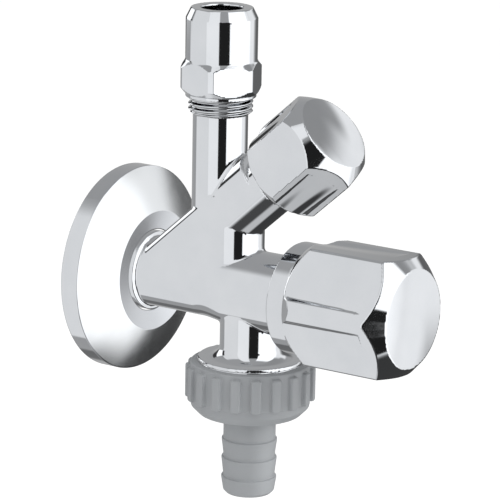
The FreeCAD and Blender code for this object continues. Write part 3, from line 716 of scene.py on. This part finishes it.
for entry in frame["record"]["subparts"]:
    node = frame["nodes"][entry["node"]]
    if not node.hide_render:
        node.visible_glossy = False
        for slot in node.material_slots:
            slot.material = slotMaterials[entry["material_slot"]]
print("frame pieces dressed")


# camera at the photograph's angle, with a small roll

view = {"distance": 0.8446, "target": (0, -0.045, 0), "turn": 55.46, "lift": 14.48, "roll": 1.12,
        "lens": 237.13, "shiftX": -0.0277, "shiftY": 0.0815, "clipEnd": 20}


def addCamera():
    turn, lift, roll = (math.radians(view[k]) for k in ("turn", "lift", "roll"))
    back = Vector((-math.sin(turn) * math.cos(lift), -math.cos(turn) * math.cos(lift), math.sin(lift)))
    right = (-back).cross(Vector((0, 0, 1))).normalized()
    up = right.cross(-back)
    across = math.cos(roll) * right + math.sin(roll) * up
    upward = -math.sin(roll) * right + math.cos(roll) * up
    camera = bpy.data.cameras.new("camera")
    camera.lens, camera.shift_x, camera.shift_y = view["lens"], view["shiftX"], view["shiftY"]
    camera.clip_end = view["clipEnd"]
    holder = linked("camera", camera)
    matrix = Matrix((across, upward, back)).transposed().to_4x4()
    matrix.translation = Vector(view["target"]) + view["distance"] * back
    holder.matrix_world = matrix
    bpy.context.scene.camera = holder


# studio: pale floor far below, a plain world, and a light tent that only reflections see

studio = {
    "floorZ": -0.32, "floorHalf": 6.0, "floor": "#f4f4f4", "floorLift": 0.3, "worldLevel": 0.78,
    "tentR": 0.9, "tentStep": 1.0, "lampAt": (0.1, -0.75, 0.55), "lampPower": 5.0, "lampSize": 0.7,
}
cameraSide = -90 - view["turn"]
# panels of the tent, painted in this order: middle and half width in degrees round from the camera,
# bottom, top, brightness, softness of the sides and of the ends
tentPanels = [
    (0, 400, -300, 300, 0.47, 1, 1),
    (-83, 33, -300, 48, 1.05, 4, 11),
    (-158, 14, -62, -38, 0.2, 6, 6),
    (-29, 21, -50, 74, 1.25, 3, 16),
    (66, 40, -50, 62, 1.75, 3, 16),
    (114, 12, -50, 40, 1.25, 14, 16),
    (128, 24, 12, 28, 1.2, 12, 8),
    (137, 40, 33, 64, 0.4, 8, 18),
    (154, 18, -24, 14, 0.16, 14, 10),
    (149, 31, -300, -19, 0.06, 10, 14),
    (9, 17, -300, 40, 0.02, 1.5, 8),
    (14, 26, -300, -22, 0.02, 3, 6),
    (-13, 33, -300, -43, 0.09, 8, 14),
    (18, 9, -32, -14, 0.02, 2, 3),
    (20, 11, -4, 12, 0.02, 2, 3),
    (88, 46, -78, -51, 0.06, 10, 8),
    (0, 400, -300, -76, 0.75, 1, 8),
    (-113, 5, -4, 24, 0.05, 2, 4),
    (-134, 14, -4, 24, 1.7, 2, 4),
    (-157, 7, -6, 24, 0.05, 2, 4),
]


def tentLevel(azimuth, height):
    level = np.zeros(azimuth.shape)
    for middle, reach, bottom, top, value, softSides, softEnds in tentPanels:
        inward = reach - np.abs((azimuth - middle + 180) % 360 - 180)
        upward = np.minimum(height - bottom, top - height)
        share = eased(0.5 + np.minimum(inward / softSides, upward / softEnds))
        level = level * (1 - share) + value * share
    return level


def addTent():
    step = studio["tentStep"]
    heights, turns = np.arange(-90, 90 + step / 2, step), np.arange(-180, 180, step)
    e, a = np.meshgrid(heights, turns, indexing="ij")
    heading, rise = np.radians(a + cameraSide), np.radians(e)
    directions = np.stack([np.cos(heading) * np.cos(rise), np.sin(heading) * np.cos(rise), np.sin(rise)], 2)
    points = np.array(view["target"]) + studio["tentR"] * directions.reshape(-1, 3)
    index = np.arange(e.size).reshape(e.shape)
    ahead = np.roll(index, -1, 1)
    faces = np.stack([index[:-1], index[1:], ahead[1:], ahead[:-1]], 2).reshape(-1, 4)
    mesh = bpy.data.meshes.new("light_tent")
    mesh.from_pydata(points.tolist(), [], faces.tolist())
    level = tentLevel(a.ravel(), e.ravel())
    colours = np.stack([level, level, level, np.ones(level.size)], 1).astype(np.float32)
    mesh.color_attributes.new("level", "FLOAT_COLOR", "POINT").data.foreach_set("color", colours.ravel())
    material, tree = newMaterial("tent_cloth")[:2]
    tree.nodes.clear()
    level = addNode(tree, "Attribute", attribute_name="level")
    glow = addNode(tree, "Emission", {"Color": level.outputs["Color"], "Strength": 1.0})
    addNode(tree, "OutputMaterial", {"Surface": glow.outputs["Emission"]})
    mesh.materials.append(material)
    tent = linked("light_tent", mesh)
    for kind in ("camera", "diffuse", "transmission", "volume_scatter", "shadow"):
        setattr(tent, "visible_" + kind, False)


def addFloor():
    half, z = studio["floorHalf"], studio["floorZ"]
    mesh = bpy.data.meshes.new("studio_floor")
    mesh.from_pydata([(-half, -half, z), (half, -half, z), (half, half, z), (-half, half, z)], [],
                     [(0, 1, 2, 3)])
    material, tree, shader = newMaterial("floor_paper", Base_Color=linear(studio["floor"]), Roughness=0.9)
    seen = addNode(tree, "LightPath").outputs["Is Camera Ray"]
    lift = addNode(tree, "Math", {0: seen, 1: studio["floorLift"]}, operation="MULTIPLY")
    shader.inputs["Emission Color"].default_value = (1, 1, 1, 1)
    tree.links.new(lift.outputs[0], shader.inputs["Emission Strength"])
    mesh.materials.append(material)
    floor = linked("studio_floor", mesh)
    floor.visible_glossy = False


def addWorld():
    # white to the camera and in reflections, plain pale light on everything else
    world = bpy.data.worlds.new("studio_world")
    bpy.context.scene.world = world
    world.use_nodes = True
    tree = world.node_tree
    tree.nodes.clear()
    path = addNode(tree, "LightPath")
    seen = path.outputs["Is Camera Ray"]
    for ray in ("Is Glossy Ray", "Is Transmission Ray"):
        seen = addNode(tree, "Math", {0: seen, 1: path.outputs[ray]}, operation="MAXIMUM").outputs[0]
    level = addNode(tree, "MapRange", {"Value": seen, "To Min": studio["worldLevel"], "To Max": 1.0})
    sky = addNode(tree, "Background", {"Color": (1, 1, 1, 1), "Strength": level.outputs["Result"]})
    addNode(tree, "OutputWorld", {"Surface": sky.outputs["Background"]})


def addLamp():
    lamp = bpy.data.lights.new("soft_box", "AREA")
    lamp.shape, lamp.size, lamp.energy = "DISK", studio["lampSize"], studio["lampPower"]
    holder = linked("soft_box", lamp)
    holder.location = studio["lampAt"]
    aim = Vector(view["target"]) - Vector(studio["lampAt"])
    holder.rotation_euler = aim.to_track_quat("-Z", "Y").to_euler()
    holder.visible_glossy = False


addTent()
addFloor()
addWorld()
addLamp()
addCamera()
bpy.context.scene.view_settings.view_transform = "Standard"
print("studio ready")
